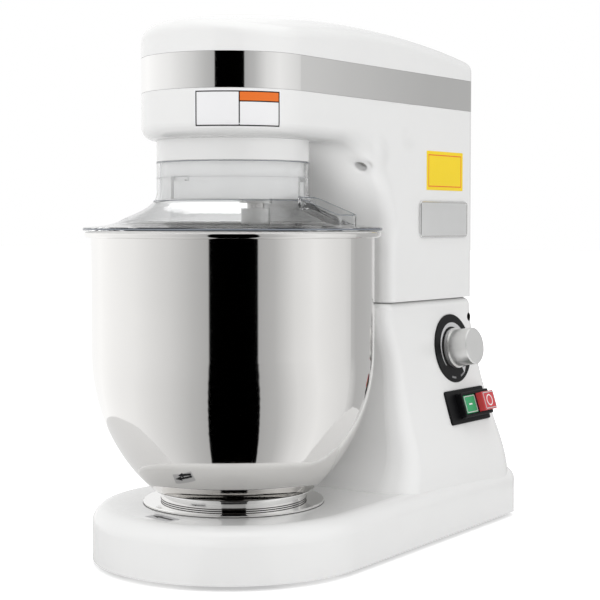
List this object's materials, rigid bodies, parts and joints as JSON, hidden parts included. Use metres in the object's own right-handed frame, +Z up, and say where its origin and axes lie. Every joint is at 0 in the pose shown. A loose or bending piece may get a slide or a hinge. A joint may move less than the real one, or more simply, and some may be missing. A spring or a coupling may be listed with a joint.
{
  "type": "stand mixer",
  "caption": "White tilt-head planetary stand mixer with a twist-lock steel bowl, a clear bowl guard with a feed opening, a speed knob and start and stop buttons.",
  "frame": {"origin": "on the floor under the middle of the whole outline", "axes": "+Z up, -Y to the front where the bowl is, +X to the side with the controls"},
  "size_m": [0.2398, 0.4281, 0.4425],
  "materials": {
    "white_paint": "gloss",
    "stainless": "polished",
    "steel": "machined",
    "aluminium": "satin",
    "rubber": "matt",
    "black_plastic": "satin",
    "motor_iron": "matt",
    "brass": "machined",
    "board": "satin",
    "green_button": "satin",
    "red_button": "satin",
    "clear_plastic": "clear"
  },
  "bodies": {
    "base": {"base_casting": "white_paint", "base_plate": "stainless", "rubber_feet": "rubber", "base_plate_screws": "steel", "bowl_seat": "stainless", "seat_screws": "steel", "hinge_pin": "steel", "dial_plate": "black_plastic", "speed_control": "black_plastic", "switch_plate": "black_plastic", "switch_body": "black_plastic", "board_standoffs": "brass", "control_board": "board", "heat_sink": "aluminium", "cord_gland": "rubber"},
    "speed": {"speed_knob": "aluminium"},
    "start": {"start_button": "green_button"},
    "stop": {"stop_button": "red_button"},
    "clamp": {"clamp_knob": "black_plastic", "clamp_stud": "steel"},
    "head": {"head_casting": "white_paint", "top_cover": "white_paint", "trim_band": "stainless", "name_plate": "aluminium", "hinge_bushes": "brass", "throat_screws": "steel", "guard_collar": "white_paint", "collar_screws": "steel", "ring_gear": "steel", "bearing_housing": "aluminium", "housing_screws": "steel", "main_bearings": "steel", "motor_case": "motor_iron", "motor_stator": "motor_iron", "motor_bearings": "steel", "motor_bracket": "steel", "bracket_screws": "steel", "drive_belt": "rubber"},
    "rotor": {"motor_rotor": "steel", "motor_pulley": "aluminium"},
    "planet": {"main_shaft": "steel", "main_pulley": "aluminium", "planet_carrier": "white_paint", "planet_bush": "brass"},
    "agitator": {"agitator_shaft": "steel", "planet_pinion": "steel", "drive_pin": "steel", "beater": "aluminium"},
    "guard": {"splash_guard": "clear_plastic"},
    "bowl": {"bowl": "stainless", "bowl_foot": "stainless"}
  },
  "joints": [
    {"name": "head_tilt", "type": "hinge", "parent": "base", "child": "head", "pos_m": [0, 0.171, 0.186], "axis": [-1, 0, 0], "range_deg": [0, 45]},
    {"name": "planet_spin", "type": "hinge", "parent": "head", "child": "planet", "pos_m": [0, -0.092, 0.3], "axis": [0, 0, 1], "continuous": true},
    {"name": "agitator_spin", "type": "hinge", "parent": "planet", "child": "agitator", "pos_m": [0, -0.062, 0.3], "axis": [0, 0, 1], "continuous": true},
    {"name": "motor_spin", "type": "hinge", "parent": "head", "child": "rotor", "pos_m": [0, 0.106, 0.3], "axis": [0, 0, 1], "continuous": true},
    {"name": "guard_twist", "type": "hinge", "parent": "head", "child": "guard", "pos_m": [0, -0.092, 0.3], "axis": [0, 0, -1], "range_deg": [0, 17]},
    {"name": "bowl_twist", "type": "hinge", "parent": "base", "child": "bowl", "pos_m": [0, -0.092, 0.06], "axis": [0, 0, 1], "range_deg": [0, 45]},
    {"name": "speed_turn", "type": "hinge", "parent": "base", "child": "speed", "pos_m": [0.0736, 0.133, 0.1595], "axis": [-0.9892, 0, -0.1467], "range_deg": [0, 290]},
    {"name": "start_press", "type": "slide", "parent": "base", "child": "start", "axis": [-0.9524, 0, -0.3048], "range_m": [0, 0.003], "stiffness_N_per_m": 300},
    {"name": "stop_press", "type": "slide", "parent": "base", "child": "stop", "axis": [-0.9524, 0, -0.3048], "range_m": [0, 0.003], "stiffness_N_per_m": 300},
    {"name": "clamp_turn", "type": "hinge", "parent": "base", "child": "clamp", "pos_m": [-0.0714, 0.084, 0.178], "axis": [-1, 0, 0], "range_deg": [0, 270]}
  ],
  "couplings": [
    {"joint": "agitator_spin", "follows": "planet_spin", "ratio": -3.5},
    {"joint": "motor_spin", "follows": "planet_spin", "ratio": 3}
  ]
}
